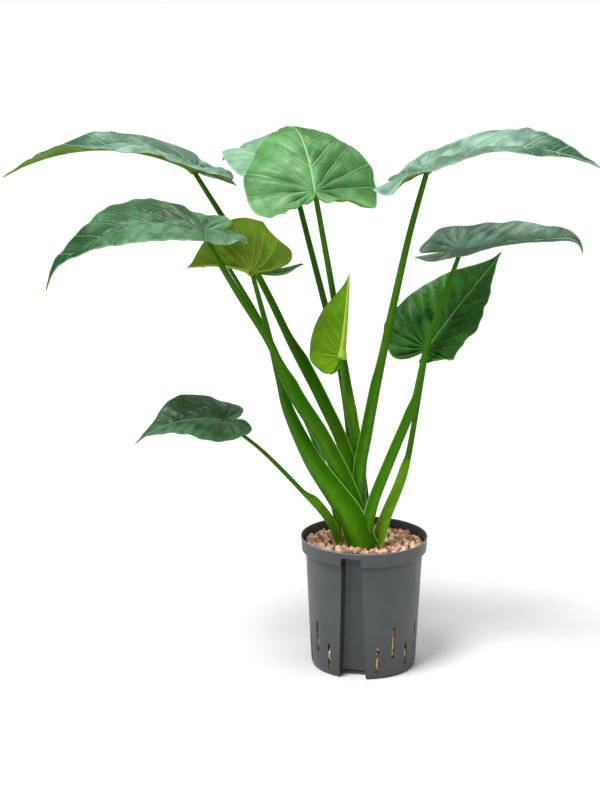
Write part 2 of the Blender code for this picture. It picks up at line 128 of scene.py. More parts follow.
def startGrid(name, columns, rows):
    # a grid to be bent, with each point's share of the way across and up it
    add = bpy.ops.mesh.primitive_grid_add
    piece = startPiece(name, add, x_subdivisions=columns, y_subdivisions=rows, size=1.0)
    points = getPoints(piece)
    return piece, points[:, 0] + 0.5, points[:, 1] + 0.5


def ease(value):
    share = np.clip(value, 0.0, 1.0)
    return share * share * (3.0 - 2.0 * share)


def smoothLine(points, count):
    # evenly spaced points on a curve through the given ones
    control = np.array(points, dtype=float)
    control = np.vstack([2 * control[0] - control[1], control, 2 * control[-1] - control[-2]])
    steps = np.linspace(0.0, 1.0, 24, endpoint=False)[:, None]
    dense = []
    for index in range(1, len(control) - 2):
        a, b, c, d = control[index - 1 : index + 3]
        bend = (2 * a - 5 * b + 4 * c - d) * steps**2 + (3 * b - a - 3 * c + d) * steps**3
        dense.append(0.5 * (2 * b + (c - a) * steps + bend))
    dense = np.vstack([*dense, control[-2][None, :]])
    travelled = np.concatenate([[0.0], np.cumsum(np.linalg.norm(np.diff(dense, axis=0), axis=1))])
    wanted = np.linspace(0.0, travelled[-1], count)
    return np.column_stack([np.interp(wanted, travelled, dense[:, axis]) for axis in range(dense.shape[1])])


def ripple(x, y, wavelength, seed):
    # a smooth random surface, about -1 to 1
    dice = np.random.default_rng(seed)
    total = np.zeros_like(x)
    for _ in range(7):
        heading = dice.uniform(0, 2 * math.pi)
        wave = 2 * math.pi / (wavelength * dice.uniform(0.7, 1.5))
        total += np.sin(wave * (x * math.cos(heading) + y * math.sin(heading)) + dice.uniform(0, 6.28))
    return total / 3.5


# Shader helpers


def tint(red, green, blue):
    # screen colour 0-255 to linear
    linear = []
    for channel in (red, green, blue):
        share = channel / 255
        linear.append(((share + 0.055) / 1.055) ** 2.4 if channel > 10 else share / 12.92)
    return (*linear, 1.0)


class Wire:
    def __init__(self, board, socket):
        self.board = board
        self.socket = socket

    def __add__(self, other):
        return self.board.maths("ADD", self, other)

    def __sub__(self, other):
        return self.board.maths("SUBTRACT", self, other)

    def __rsub__(self, other):
        return self.board.maths("SUBTRACT", other, self)

    def __mul__(self, other):
        return self.board.maths("MULTIPLY", self, other)

    def __truediv__(self, other):
        return self.board.maths("DIVIDE", self, other)

    def __abs__(self):
        return self.board.maths("ABSOLUTE", self)

    def __mod__(self, other):
        return self.board.maths("FLOORED_MODULO", self, other)

    __radd__ = __add__
    __rmul__ = __mul__


class Board:
    # one material's node tree
    def __init__(self, name):
        self.material = bpy.data.materials.new(name)
        self.material.use_nodes = True
        self.tree = self.material.node_tree
        self.tree.nodes.clear()

    def node(self, kind, settings=(), sockets=(), output=0):
        made = self.tree.nodes.new(kind)
        for name, value in dict(settings).items():
            setattr(made, name, value)
        for name, value in dict(sockets).items():
            if isinstance(value, Wire):
                self.tree.links.new(value.socket, made.inputs[name])
            else:
                made.inputs[name].default_value = value
        return Wire(self, made.outputs[output]) if made.outputs else None

    def maths(self, operation, *values):
        return self.node("ShaderNodeMath", {"operation": operation}, dict(enumerate(values)))

    def place(self, scale=(1.0, 1.0, 1.0)):
        here = self.node("ShaderNodeTexCoord", output="Object")
        return self.node("ShaderNodeMapping", sockets={"Vector": here, "Scale": scale})

    def attribute(self, name, output="Fac"):
        return self.node("ShaderNodeAttribute", {"attribute_name": name}, output=output)

    def parts(self, vector):
        split = self.node("ShaderNodeSeparateXYZ", sockets={"Vector": vector})
        return [Wire(self, socket) for socket in split.socket.node.outputs]

    def noise(self, where, scale, detail, roughness=0.55):
        sockets = {"Vector": where, "Scale": scale, "Detail": detail, "Roughness": roughness}
        return self.node("ShaderNodeTexNoise", sockets=sockets)

    def cells(self, where, scale):
        return self.node("ShaderNodeTexVoronoi", sockets={"Vector": where, "Scale": scale})

    def band(self, value, low, high, start=0.0, end=1.0):
        # goes smoothly from start to end as value goes from low to high
        sockets = {"Value": value, "From Min": low, "From Max": high, "To Min": start, "To Max": end}
        return self.node("ShaderNodeMapRange", {"interpolation_type": "SMOOTHSTEP"}, sockets)

    def mix(self, share, *colors):
        # each colour is a link, a linear one of four numbers, or a screen one of three
        sockets = {0: share}
        for place, color in enumerate(colors, 6):
            ready = isinstance(color, Wire) or len(color) == 4
            sockets[place] = color if ready else tint(*color)
        return self.node("ShaderNodeMix", {"data_type": "RGBA"}, sockets, output=2)

    def bump(self, height, distance, strength):
        sockets = {"Height": height, "Distance": distance, "Strength": strength}
        return self.node("ShaderNodeBump", sockets=sockets)

    def surface(self, **sockets):
        # an underscore in a socket's name stands for a space
        named = {name.replace("_", " "): value for name, value in sockets.items()}
        shader = self.node("ShaderNodeBsdfPrincipled", sockets=named, output="BSDF")
        self.node("ShaderNodeOutputMaterial", sockets={"Surface": shader})
        return self.material


# Leaf blades: forward is from the stalk to the tip, aside is to the leaf's left, in metres

bladeShape = {
    "spokes": 208,
    "rings": 56,
    "thickness": 0.0009,
    "midribThickness": 0.0036,
    "midribSpread": 0.0022,
    "veinThickness": 0.0016,
    "veinCurve": 2.2,
    "veinPull": 1.3,  # above 1, side veins crowd towards the tip
    "lobeVeinAngle": 24.0,  # degrees between the veins behind the stalk
    "hub": (0.0025, 0.007),  # extra thickness over the stalk, and how far out it goes
    "wave": 0.0030,  # height of the margin's waves
    "waves": 5,
    # share of the length or lobe, share of the half width: tip, left side, lobe and notch
    "halfOutline": (
        (1.00, 0.000), (0.90, 0.085), (0.76, 0.300), (0.52, 0.700), (0.25, 0.970), (0.00, 1.000),
        (-0.45, 0.890), (-0.85, 0.620), (-1.00, 0.380), (-0.85, 0.170), (-0.45, 0.060), (-0.12, 0.000),
    ),
}
# quilting: times the leaf's own; sunkRib: depth, half width; the rest: height, wavelength,
# where patchiness and puckers are shares of the quilting
reliefShape = {
    "quilting": 1.35, "patchiness": (0.5, 0.045), "puckers": (0.12, 0.024), "sunkRib": (0.0016, 0.004),
    "slow": (0.0034, 0.075), "margin": (0.0012, 0.022),
}

# heights are above the granules' surface, angles in degrees
# attach, tip: blade ends; veins: pairs, lean; fold, cup: left, right; stalk: line up from the crown
# sheath: foot width, top width, depth, share of the stalk it runs up
# stem: thickness above the sheath and under the blade; facing: bearing of the stalk's back
granuleLevel = 0.183
plainLeaf = {"look": "deep", "quilt": 0.0030, "veins": (6, 0.7), "curl": 0}
leaves = {
    "leaf_1": {
        "look": "silver",
        "attach": (-0.241, 0.100, 0.514), "tip": (-0.505, 0.065, 0.507), "width": 0.150, "lobes": 0.062,
        "arch": 58, "lobeDroop": -10, "roll": 0, "fold": (22, 25), "cup": (-35, -30),
        "stalk": ((-0.002, 0.000, -0.010), (-0.028, 0.006, 0.118), (-0.061, 0.024, 0.194),
                  (-0.097, 0.045, 0.262), (-0.155, 0.080, 0.374)),
        "sheath": (0.024, 0.020, 0.0060, 0.52), "stem": (0.0115, 0.0065), "facing": 235,
    },
    "leaf_2": {
        "quilt": 0.0034,
        "attach": (-0.223, -0.070, 0.455), "tip": (-0.432, -0.150, 0.392), "width": 0.160, "lobes": 0.055,
        "arch": 68, "lobeDroop": -15, "curl": 35, "roll": -10, "fold": (15, 15), "cup": (-25, -20),
        "stalk": ((-0.001, -0.018, -0.010), (-0.024, -0.018, 0.071), (-0.062, -0.031, 0.155),
                  (-0.101, -0.043, 0.223), (-0.133, -0.048, 0.296), (-0.177, -0.060, 0.370)),
        "sheath": (0.030, 0.022, 0.0065, 0.56), "stem": (0.0115, 0.0070), "facing": 250,
    },
    "leaf_3": {
        "look": "fresh", "quilt": 0.0024, "veins": (5, 0.9),
        "attach": (-0.156, -0.020, 0.389), "tip": (-0.247, 0.020, 0.387), "width": 0.150, "lobes": 0.072,
        "arch": 30, "lobeDroop": -45, "roll": 30, "fold": (45, 30), "cup": (12, 0),
        "stalk": ((-0.003, -0.029, -0.010), (-0.023, -0.033, 0.042), (-0.044, -0.037, 0.076),
                  (-0.077, -0.033, 0.126), (-0.108, -0.016, 0.190), (-0.120, -0.017, 0.238),
                  (-0.134, -0.022, 0.301)),
        "sheath": (0.046, 0.014, 0.0065, 0.6), "stem": (0.0105, 0.0060), "facing": 255,
    },
    "leaf_4": {
        "quilt": 0.0024,
        "attach": (-0.224, 0.052, 0.440), "tip": (-0.340, 0.058, 0.416), "width": 0.064, "lobes": 0.028,
        "arch": 50, "lobeDroop": 10, "roll": -5, "fold": (15, 15), "cup": (-20, -20),
        "stalk": ((-0.033, 0.010, -0.010), (-0.062, 0.014, 0.114), (-0.109, 0.032, 0.227),
                  (-0.144, 0.045, 0.302)),
        "sheath": (0.014, 0.014, 0.0045, 0.45), "stem": (0.0070, 0.0050), "facing": 170,
    },
    "leaf_5": {
        "look": "pale", "quilt": 0.0024, "veins": (5, 0.9),
        "attach": (-0.104, 0.100, 0.513), "tip": (-0.205, 0.215, 0.514), "width": 0.150, "lobes": 0.055,
        "arch": 65, "lobeDroop": 10, "roll": -15, "fold": (20, 20), "cup": (-25, -35),
        "stalk": ((-0.008, 0.031, -0.010), (-0.022, 0.041, 0.157), (-0.040, 0.050, 0.272),
                  (-0.058, 0.062, 0.336)),
        "sheath": (0.018, 0.015, 0.0050, 0.4), "stem": (0.0105, 0.0070), "facing": 115,
    },
    "leaf_6": {
        "look": "fresh", "veins": (4, 1.15),
        "attach": (-0.071, -0.020, 0.499), "tip": (-0.106, 0.130, 0.570), "width": 0.188, "lobes": 0.038,
        "arch": 72, "lobeDroop": -85, "roll": -3, "fold": (2, 2), "cup": (-30, -34),
        "stalk": ((0.008, 0.020, -0.010), (-0.011, 0.027, 0.139), (-0.025, 0.025, 0.227),
                  (-0.034, 0.024, 0.277), (-0.046, 0.022, 0.355)),
        "sheath": (0.018, 0.015, 0.0050, 0.4), "stem": (0.0105, 0.0070), "facing": 80,
    },
    "leaf_7": {
        "look": "silver",
        "attach": (0.078, -0.040, 0.530), "tip": (0.296, -0.135, 0.543), "width": 0.158, "lobes": 0.072,
        "arch": 55, "lobeDroop": -10, "roll": 12, "fold": (20, 20), "cup": (-30, -30),
        "stalk": ((-0.003, -0.008, -0.010), (-0.005, -0.007, 0.097), (0.003, -0.006, 0.151),
                  (0.017, -0.012, 0.235), (0.027, -0.018, 0.293), (0.055, -0.032, 0.434)),
        "sheath": (0.024, 0.016, 0.0060, 0.48), "stem": (0.0120, 0.0070), "facing": 290,
    },
    "leaf_8": {
        "look": "silver", "quilt": 0.0026,
        "attach": (0.128, -0.010, 0.417), "tip": (0.300, -0.050, 0.440), "width": 0.108, "lobes": 0.060,
        "arch": 10, "lobeDroop": 4, "curl": 85, "roll": 3, "fold": (40, 14), "cup": (-25, -25),
        "stalk": ((0.002, -0.024, -0.010), (0.013, -0.025, 0.056), (0.037, -0.023, 0.123),
                  (0.066, -0.018, 0.197), (0.074, -0.016, 0.236), (0.089, -0.014, 0.302)),
        "sheath": (0.022, 0.015, 0.0060, 0.52), "stem": (0.0095, 0.0060), "facing": 300,
    },
    "leaf_9": {
        "look": "quilted", "quilt": 0.0052,
        "attach": (0.087, 0.030, 0.272), "tip": (0.196, 0.100, 0.394), "width": 0.140, "lobes": 0.044,
        "arch": 20, "lobeDroop": -60, "curl": -30, "roll": 42, "fold": (4, 44), "cup": (-8, 0),
        "stalk": ((0.018, -0.014, -0.010), (0.031, -0.010, 0.035), (0.051, -0.003, 0.084),
                  (0.061, 0.004, 0.120), (0.073, 0.014, 0.189), (0.080, 0.020, 0.231)),
        "sheath": (0.020, 0.014, 0.0050, 0.45), "stem": (0.0090, 0.0060), "facing": 60,
    },
    "leaf_10": {
        "look": "young", "quilt": 0.0016, "veins": (5, 1),
        "attach": (-0.034, -0.026, 0.271), "tip": (-0.024, -0.010, 0.383), "width": 0.112, "lobes": 0.026,
        "arch": 10, "lobeDroop": 0, "roll": 180, "fold": (148, 4), "cup": (0, 0),
        "stalk": ((0.006, 0.009, -0.010), (-0.009, 0.012, 0.107), (-0.017, -0.003, 0.146),
                  (-0.029, -0.038, 0.212)),
        "sheath": (0.012, 0.011, 0.0050, 0.45), "stem": (0.0080, 0.0050), "facing": 80,
    },
    "leaf_11": {
        "attach": (-0.200, -0.020, 0.181), "tip": (-0.319, -0.050, 0.155), "width": 0.115, "lobes": 0.038,
        "arch": 55, "lobeDroop": -20, "roll": -18, "fold": (15, 15), "cup": (-25, -25),
        "stalk": ((-0.034, -0.008, -0.010), (-0.055, -0.012, 0.036), (-0.094, -0.014, 0.082),
                  (-0.147, -0.018, 0.138)),
        "sheath": (0.018, 0.016, 0.0045, 0.36), "stem": (0.0070, 0.0045), "facing": 150,
    },
}
for name, leaf in leaves.items():
    leaves[name] = {**plainLeaf, **leaf}


def aboveGranules(point):
    return np.array([point[0], point[1], point[2] + granuleLevel])


def midribLength(leaf):
    chord = math.dist(leaf["tip"], leaf["attach"])
    halfTurn = math.radians(leaf["arch"]) / 2
    return chord * halfTurn / math.sin(halfTurn)


def midribAt(leaf, forward):
    # points on the midrib line, with the blade's left and up there
    chord = np.subtract(leaf["tip"], leaf["attach"])
    ahead = chord / np.linalg.norm(chord)
    level = np.cross((0.0, 0.0, 1.0), ahead)
    level /= np.linalg.norm(level)
    roll = math.radians(leaf["roll"])
    upright = np.cross(ahead, level)
    left = level * math.cos(roll) + upright * math.sin(roll)
    up = upright * math.cos(roll) - level * math.sin(roll)
    length = midribLength(leaf)
    half = math.radians(leaf["arch"]) / 2
    table = np.linspace(-leaf["lobes"] * 1.05, length * 1.02, 321)
    turn = half - 2 * half * table / length
    turn += (2 * half / length - math.radians(leaf["lobeDroop"]) / leaf["lobes"]) * np.minimum(table, 0.0)
    turn -= math.radians(leaf["curl"]) * np.clip((table / length - 0.8) / 0.2, 0.0, None)
    step = table[1] - table[0]
    travels = []
    for slope in (np.cos(turn), np.sin(turn)):
        total = np.concatenate([[0.0], np.cumsum((slope[1:] + slope[:-1]) / 2 * step)])
        travels.append(np.interp(forward, table, total - np.interp(0.0, table, total)))
    angle = np.interp(forward, table, turn)[:, None]
    points = aboveGranules(leaf["attach"]) + travels[0][:, None] * ahead + travels[1][:, None] * up
    return points, left, np.cos(angle) * up - np.sin(angle) * ahead


def bladePoints(leaf, forward, aside, share, around):
    centre, left, up = midribAt(leaf, forward)
    halfWidth = leaf["width"] / 2
    isLeft = aside >= 0
    fold = np.radians(np.where(isLeft, *leaf["fold"]))
    bend = np.radians(np.where(isLeft, *leaf["cup"])) / halfWidth
    bend = np.where(np.abs(bend) < 1e-6, 1e-6, bend)
    out = np.abs(aside)
    across = (np.sin(fold + bend * out) - np.sin(fold)) / bend
    rise = (np.cos(fold) - np.cos(fold + bend * out)) / bend
    rise += bladeShape["wave"] * share**3 * np.sin(bladeShape["waves"] * around)
    return centre + (np.sign(aside) * across)[:, None] * left + rise[:, None] * up


def veinPhase(leaf, forward, aside):
    # a whole number on each side vein: above 0 ahead of the stalk, below 0 in the lobes
    length = midribLength(leaf)
    out = np.abs(aside)
    pairs, lean = leaf["veins"]
    curve = bladeShape["veinCurve"] * 0.15 / leaf["width"]
    start = forward - lean * out - curve * out**2
    ahead = pairs * (1 - (1 - np.clip(start / length, 0.0, 0.98)) ** bladeShape["veinPull"])
    reach = np.hypot(forward, out)
    edge = np.arctan2(1.0, lean + curve * reach)
    behind = (np.arctan2(out, forward) - edge) / math.radians(bladeShape["lobeVeinAngle"])
    return np.where(start >= 0, ahead, -np.maximum(behind, 0.0))


def bladeThickness(leaf, forward, aside, phase):
    length = midribLength(leaf)
    along = np.clip(forward / length, 0.0, 1.0)
    thin = bladeShape["thickness"]
    spread = np.exp(-((aside / bladeShape["midribSpread"]) ** 2))
    rib = (bladeShape["midribThickness"] - thin) * (1 - 0.8 * along) * spread
    rib *= ease(1 + forward / 0.004)  # ends just behind the stalk
    reach = np.hypot(forward, aside)
    toVein = np.abs((phase + 0.5) % 1.0 - 0.5)
    side = (bladeShape["veinThickness"] - thin) * np.exp(-((toVein / 0.06) ** 2)) * np.exp(-reach / 0.08)
    hubHeight, hubReach = bladeShape["hub"]
    hub = hubHeight * np.exp(-((reach / hubReach) ** 2))
    return thin + rib + side + hub


def bladeRelief(leaf, forward, aside, share, phase, seed):
    # quilting between the veins, a sunk midrib, slow unevenness and a rippled margin
    def uneven(kind, offset):
        height, wavelength = reliefShape[kind]
        return height * ripple(forward, aside, wavelength, seed + offset)

    out = np.abs(aside)
    between = np.abs(np.sin(math.pi * phase))
    fade = ease(out / 0.012) * (1 - share**5) * ease(np.hypot(forward, aside) / 0.03)
    quilt = reliefShape["quilting"] * leaf["quilt"] * (between**0.7 - 0.5) * fade
    quilt *= 1 + uneven("patchiness", 20)
    quilt += uneven("puckers", 0) * leaf["quilt"] * fade
    depth, halfWidth = reliefShape["sunkRib"]
    sunkRib = -depth * np.exp(-((aside / halfWidth) ** 2)) * (1 - share)
    slow = uneven("slow", 50) * ease(out / 0.02) * share
    return quilt + sunkRib + slow + uneven("margin", 90) * share**6


def buildBlade(name, leaf, upperMaterial, underMaterial, seed):
    piece, turn, share = startGrid(name + "_blade_fine", bladeShape["spokes"], bladeShape["rings"])
    turn, share = np.clip(turn, 0.0, 1.0), np.clip(share, 0.0, 1.0)
    outline = smoothLine(bladeShape["halfOutline"], 400)
    travelled = np.linspace(0, 1, len(outline))
    place = 1 - np.abs(1 - 2 * turn)
    length = midribLength(leaf)
    edgeForward = np.interp(place, travelled, outline[:, 0])
    edgeForward = np.where(edgeForward > 0, edgeForward * length, edgeForward * leaf["lobes"])
    edgeAside = np.maximum(np.interp(place, travelled, outline[:, 1]), 0.0) * leaf["width"] / 2
    forward = edgeForward * share
    aside = edgeAside * share * np.where(turn <= 0.5, 1.0, -1.0)
    around = 2 * math.pi * turn
    points = bladePoints(leaf, forward, aside, share, around)
    nudge = 1e-4
    beside = np.where(aside >= 0, nudge, -nudge)
    alongStep = bladePoints(leaf, forward + nudge, aside, share, around) - points
    asideStep = bladePoints(leaf, forward, aside + beside, share, around) - points
    asideStep *= np.sign(beside)[:, None]
    normal = np.cross(alongStep, asideStep)
    normal /= np.linalg.norm(normal, axis=1)[:, None]
    onRib = np.abs(aside) < 1e-7
    normal[onRib] = midribAt(leaf, forward[onRib])[2]
    phase = veinPhase(leaf, forward, aside)
    points += normal * bladeRelief(leaf, forward, aside, share, phase, seed)[:, None]
    setPoints(piece, points)
    setAttribute(piece, "leafPlane", np.column_stack([forward, aside, share * 0.01]))
    setAttribute(piece, "veinPhase", phase)
    thick = bladeThickness(leaf, forward, aside, phase)
    most = float(thick.max())
    group = piece.vertex_groups.new(name="thick")
    for index, value in enumerate(np.round(thick / most, 3)):
        group.add([index], float(value), "REPLACE")
    cleanMesh(piece, recalculate=False)
    up = midribAt(leaf, np.array([0.0]))[2][0]
    hub = Vector(aboveGranules(leaf["attach"]))
    nearHub = [face for face in piece.data.polygons if (face.center - hub).length < 0.02]
    if sum(face.normal.dot(Vector(up)) for face in nearHub) < 0:
        goTo("EDIT")
        bpy.ops.mesh.select_all(action="SELECT")
        bpy.ops.mesh.flip_normals()
        goTo("OBJECT")
    piece.data.materials.append(upperMaterial)
    piece.data.materials.append(underMaterial)
    applyModifier(
        piece, "SOLIDIFY", thickness=most, offset=-1.0, vertex_group="thick",
        thickness_vertex_group=0.0, material_offset=1, material_offset_rim=1,
    )
    piece.vertex_groups.clear()
    smoothShade(piece, 60)
    keepPiece(piece, standsFor=(name + "_blade",))


leafLooks = {
    # colours: top, its dark patches and painted shade, its veins, underside and its veins; then roughness,
    # waxy coat
    "silver": ((140, 182, 158), (30, 74, 40), (180, 212, 188), (92, 128, 44), (130, 154, 66), 0.42, 0.62),
    "deep": ((92, 142, 96), (14, 50, 18), (140, 182, 138), (76, 112, 30), (124, 150, 60), 0.42, 0.62),
    "fresh": ((102, 158, 96), (44, 98, 40), (162, 204, 146), (98, 130, 28), (138, 154, 58), 0.44, 0.34),
    "pale": ((142, 184, 150), (80, 130, 88), (182, 214, 184), (104, 140, 54), (142, 170, 86), 0.46, 0.46),
    "quilted": ((62, 124, 46), (16, 62, 12), (108, 158, 80), (96, 126, 24), (138, 156, 48), 0.40, 0.36),
    "young": ((108, 156, 18), (80, 132, 10), (158, 192, 66), (100, 152, 10), (150, 188, 58), 0.44, 0.10),
}


def leafPattern(board):
    # masks that follow the blade's own veins and margin
    plane = board.attribute("leafPlane", "Vector")
    forward, aside, share = board.parts(plane)
    share = share * 100.0  # stored at a hundredth, so that it doesn't stretch the noise
    phase = board.attribute("veinPhase")
    out = abs(aside)
    toVein = abs((phase + 0.5) % 1.0 - 0.5)
    sideVein = board.band(toVein, 0.012, 0.040, 1.0, 0.0)
    ribWidth = board.band(forward, 0.0, 0.20, 0.0017, 0.0007)
    rib = board.band(out / ribWidth, 0.6, 1.15, 1.0, 0.0) * board.band(forward, -0.004, 0.0)
    fine = abs((phase * 5.0 + 0.5) % 1.0 - 0.5)
    fineVein = board.band(fine, 0.04, 0.20, 1.0, 0.0)
    edge = board.band(share, 0.975, 0.995)
    return {
        "plane": plane, "forward": forward, "out": out, "share": share, "rib": rib,
        "sideVein": sideVein, "fineVein": fineVein, "edge": edge, "toVein": toVein,
    }


def upperLeafMaterial(name, top, deep, vein, rough, coat):
    board = Board(name)
    p = leafPattern(board)
    mottle = board.noise(p["plane"], 26.0, 4.0)
    grain = board.noise(p["plane"], 420.0, 3.0)
    wrinkle = board.cells(p["plane"], 330.0)
    patches = board.band(mottle + board.noise(p["plane"], 9.0, 2.0) * 0.6, 0.62, 0.98)
    color = board.mix(patches * 0.8, top, deep)
    # painted shade: the top darkens towards the tip, where its waxy coat also fades
    tipShade = board.band(p["forward"] + (mottle - 0.5) * 0.10, 0.11, 0.19)
    color = board.mix(tipShade * 0.9, color, deep)
    # painted shade in the hollow of the blade near the stalk
    nearStalk = board.band(abs(p["forward"] - 0.035), 0.035, 0.0)
    hollowShade = nearStalk * board.band(p["out"], 0.004, 0.02) * board.band(p["out"], 0.055, 0.025)
    color = board.mix(hollowShade * board.band(mottle, 0.4, 0.6) * 0.6, color, deep)
    # painted shade in the grooves beside the side veins
    color = board.mix(board.band(p["toVein"], 0.02, 0.26, 0.4, 0.0), color, deep)
    color = board.mix(p["fineVein"] * 0.05, color, vein)
    color = board.mix(board.band(grain, 0.35, 0.75) * 0.12, color, vein)
    veins = board.maths("MAXIMUM", p["sideVein"] * board.band(p["share"], 0.2, 0.95, 0.95, 0.4), p["rib"])
    color = board.mix(veins * 0.85, color, vein)
    color = board.mix(p["edge"] * 0.5, color, vein)
    height = p["sideVein"] * -0.6 + p["rib"] * -0.8 + p["fineVein"] * -0.04 + wrinkle * 0.35 + grain * 0.12
    return board.surface(
        Base_Color=color,
        Roughness=board.band(mottle + grain * 0.3, 0.4, 0.9, rough - 0.08, rough + 0.12),
        Coat_Weight=coat * (1 - tipShade) * (1 - veins * 0.5),
        Coat_Roughness=0.30,
        Specular_IOR_Level=0.0,  # the waxy coat gives all the gloss
        Normal=board.bump(height, 0.0011, 0.8),
    )


def underLeafMaterial(name, under, vein):
    board = Board(name)
    p = leafPattern(board)
    mottle = board.noise(p["plane"], 30.0, 4.0)
    grain = board.noise(p["plane"], 500.0, 3.0)
    darker = [channel * 0.82 for channel in under]
    color = board.mix(board.band(mottle, 0.35, 0.65), under, darker)
    color = board.mix(p["fineVein"] * 0.22, color, vein)
    veins = board.maths("MAXIMUM", p["sideVein"] * board.band(p["share"], 0.3, 1.0, 0.85, 0.4), p["rib"])
    color = board.mix(veins, color, vein)
    height = p["sideVein"] * 0.8 + p["rib"] + p["fineVein"] * 0.15 + grain * 0.2
    return board.surface(
        Base_Color=color,
        Roughness=board.band(mottle + grain * 0.3, 0.4, 0.9, 0.5, 0.66),
        Specular_IOR_Level=0.06,
        Normal=board.bump(height, 0.0006, 0.5),
    )


leafMaterials = {}
for kind, (top, deep, vein, under, underVein, rough, coat) in leafLooks.items():
    leafMaterials[kind] = (
        upperLeafMaterial(kind + "LeafTop", top, deep, vein, rough, coat),
        underLeafMaterial(kind + "LeafUnderside", under, underVein),
    )
for number, (name, leaf) in enumerate(leaves.items()):
    buildBlade(name, leaf, *leafMaterials[leaf["look"]], seed=number + 3)
print("blades built:", len(leaves))


# Leaf stalks with their sheaths

stalkShape = {
    "sides": 28,
    "rings": 150,
    "curl": 0.62,  # how far the sheath's margins turn in, as a share of half its width
    "curlPower": 2.2,
    "closing": 0.05,  # half the share of the stalk over which the sheath closes
    "marginThin": 0.82,
    "underBlade": 0.0016,
}
# the flank colour is painted shade on the sheaths' rounded sides
stalkLook = {
    "low": (86, 146, 12), "high": (58, 108, 10), "flankShade": (40, 96, 4), "margin": (156, 194, 84),
    "inside": (124, 178, 34), "streak": (36, 86, 2),
}


def buildStalk(name, leaf, material):
    rings = stalkShape["rings"]
    piece, across, upward = startGrid(name + "_stalk_fine", stalkShape["sides"], rings)
    turn = 2 * math.pi * across
    row = np.rint(upward * rings).astype(int)
    up = midribAt(leaf, np.array([0.0]))[2][0]
    head = aboveGranules(leaf["attach"]) - up * stalkShape["underBlade"]
    line = smoothLine([*[aboveGranules(stop) for stop in leaf["stalk"]], head], rings + 1)
    tangent = np.gradient(line, axis=0)
    tangent /= np.linalg.norm(tangent, axis=1)[:, None]
    facing = math.radians(leaf["facing"])
    back = np.array([math.cos(facing), math.sin(facing), 0.0])
    inward = (tangent @ back)[:, None] * tangent - back
    inward /= np.linalg.norm(inward, axis=1)[:, None]
    sideways = np.cross(inward, tangent)
    footWidth, topWidth, depth, openTo = leaf["sheath"]
    stemLow, stemHigh = leaf["stem"]
    share = np.linspace(0.0, 1.0, rings + 1)
    closing = stalkShape["closing"]
    closed = ease((share - openTo + closing) / (2 * closing))
    stem = stemLow + (stemHigh - stemLow) * np.clip((share - openTo) / (1 - openTo), 0.0, 1.0)
    sheath = footWidth + (topWidth - footWidth) * np.clip(share / openTo, 0.0, 1.0)
    width = sheath + (stem - sheath) * closed
    thick = depth + (stem - depth) * ease(share / openTo)
    ends = np.where((share == 0) | (share == 1), 0.0, 1.0)  # closes the foot and the top
    width, thick = width * ends, thick * ends
    curl = stalkShape["curl"] * (1 - closed)
    thin = stalkShape["marginThin"] * (1 - closed)
    across = np.cos(turn)
    wing = across**2
    flat = np.sin(turn) * thick[row] / 2 * (1 - thin[row] * wing)
    toward = flat + curl[row] * width[row] / 2 * np.abs(across) ** stalkShape["curlPower"]
    points = line[row] + sideways[row] * (across * width[row] / 2)[:, None] + inward[row] * toward[:, None]
    setPoints(piece, points)
    setAttribute(piece, "stalkPlace", np.column_stack([share[row], across, np.sin(turn)]))
    setAttribute(piece, "sheathed", 1 - closed[row])
    cleanMesh(piece)
    smoothShade(piece, 75)
    keepPiece(piece, material, standsFor=(name + "_stalk",))


def stalkMaterial(name, look):
    board = Board(name)
    along, across, side = board.parts(board.attribute("stalkPlace", "Vector"))
    sheathed = board.attribute("sheathed")
    where = board.place()
    mottle = board.noise(where, 60.0, 4.0)
    streaks = board.noise(board.place((1.0, 1.0, 0.08)), 700.0, 3.0)
    color = board.mix(board.band(along, 0.02, 0.5), look["low"], look["high"])
    # painted shade: the sheath darkens from its lit back towards its margins
    flankShade = board.band(abs(across + board.noise(where, 22.0, 2.0) * 0.5 - 0.25), 0.05, 0.75)
    color = board.mix(flankShade * sheathed * 0.75, color, look["flankShade"])
    color = board.mix(board.band(side, 0.05, 0.5) * sheathed * 0.7, color, look["inside"])
    color = board.mix(board.band(streaks, 0.45, 0.7) * 0.45, color, look["streak"])
    color = board.mix(board.band(mottle, 0.4, 0.7) * 0.25, color, look["streak"])
    margin = board.band(abs(across), 0.93, 0.985) * sheathed
    color = board.mix(margin * 0.9, color, look["margin"])
    return board.surface(
        Base_Color=color,
        Roughness=board.band(mottle, 0.3, 0.7, 0.42, 0.55),
        Specular_IOR_Level=0.05,
        Normal=board.bump(streaks + mottle * 0.4, 0.0004, 0.5),
    )


stalkGreen = stalkMaterial("stalkGreen", stalkLook)
for name, leaf in leaves.items():
    buildStalk(name, leaf, stalkGreen)
print("stalks built:", len(leaves))


# Pot

potShape = {
    "height": 0.190,
    "segments": 240,
    "wallFoot": 0.0752,  # outside radius just above the foot, and just under the collar
    "wallTop": 0.0826,
    "wallLean": 0.05,
    # radius, height: from the middle of the floor up the outside, over the rim and down the inside
    "profile": (
        (0.05, 0.003), (0.054, 0.0008), (0.06, 0.0002), (0.068, 0.0), (0.071, 0.0006), (0.0735, 0.0025),
        (0.0746, 0.006), (0.0752, 0.012), (0.077, 0.05), (0.08, 0.11), (0.0826, 0.164), (0.0829, 0.1688),
        (0.0836, 0.1696), (0.0878, 0.1698), (0.0884, 0.1702), (0.0887, 0.1712), (0.089, 0.178),
        (0.0894, 0.185), (0.0897, 0.1874), (0.09, 0.1886), (0.0899, 0.1896), (0.0893, 0.19),
        (0.0884, 0.1898), (0.0879, 0.189), (0.0876, 0.187), (0.0873, 0.175), (0.0872, 0.1716),
        (0.0864, 0.1708), (0.0824, 0.1706), (0.0815, 0.17), (0.0811, 0.168), (0.0785, 0.11),
        (0.0755, 0.05), (0.0737, 0.012), (0.0728, 0.005), (0.07, 0.0024), (0.05, 0.0044),
    ),
}
